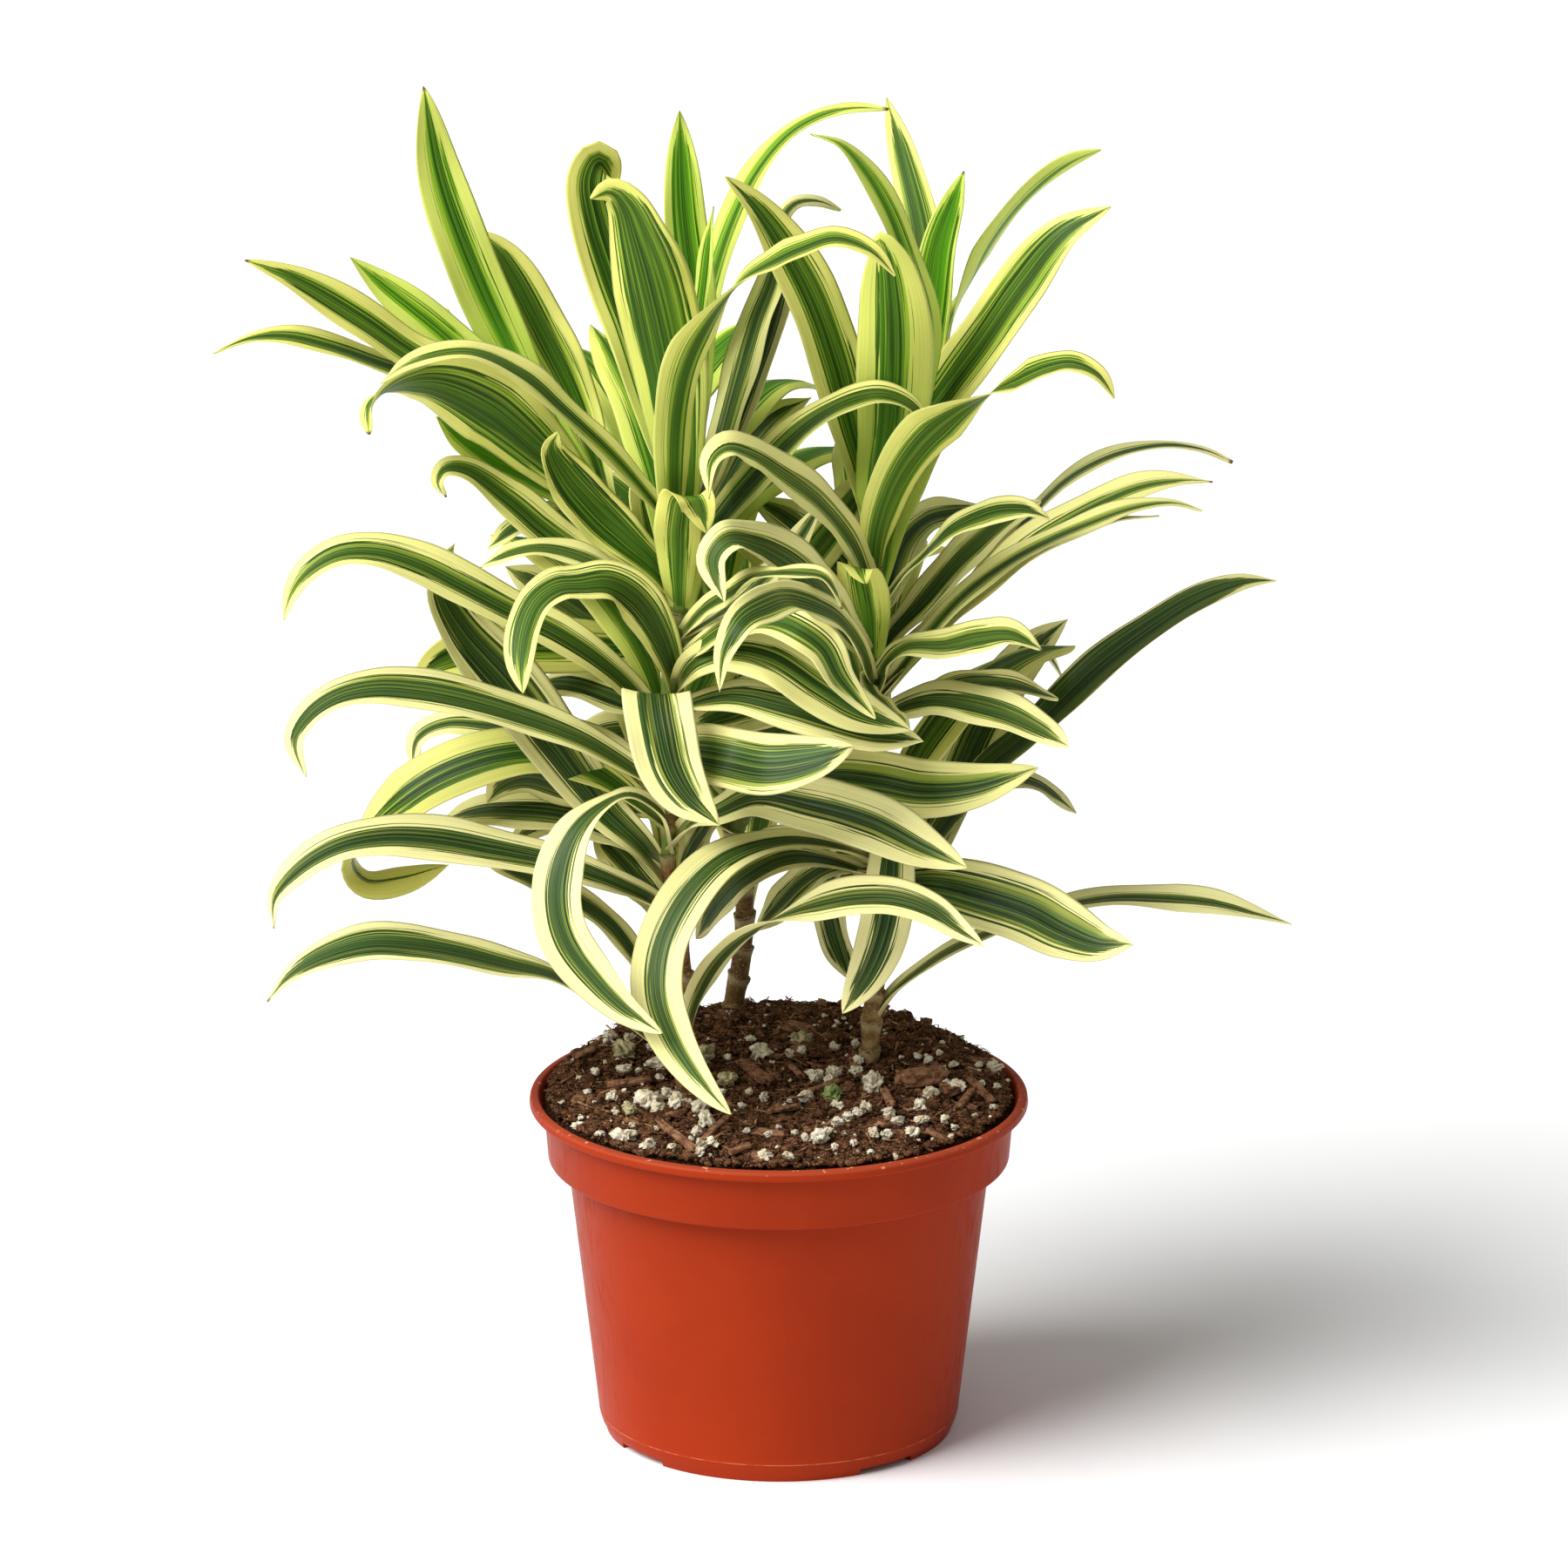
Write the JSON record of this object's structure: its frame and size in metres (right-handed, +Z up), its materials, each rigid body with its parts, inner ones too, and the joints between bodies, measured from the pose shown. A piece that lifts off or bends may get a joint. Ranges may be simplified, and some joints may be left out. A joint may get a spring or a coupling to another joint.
{
  "type": "potted song of india dracaena",
  "caption": "Variegated dracaena with leafy canes of arching strap leaves, rooted in soil in a stepped round plastic nursery pot.",
  "frame": {"origin": "on the ground, on the axis of the pot", "axes": "+Z up along the pot's axis, -Y towards the viewer of the picture, +X to the right in the picture"},
  "size_m": [0.3284, 0.2768, 0.423],
  "materials": {
    "pot": "satin terracotta coloured plastic",
    "soil": "matt, loose and fibrous",
    "left_stem": "satin green leaves with cream margins",
    "right_stem": "satin green leaves with cream margins",
    "back_stem": "satin green leaves with cream margins"
  },
  "bodies": {
    "root": {"pot": "pot", "soil": "soil", "left_stem": "left_stem", "right_stem": "right_stem", "back_stem": "back_stem"}
  },
  "joints": []
}
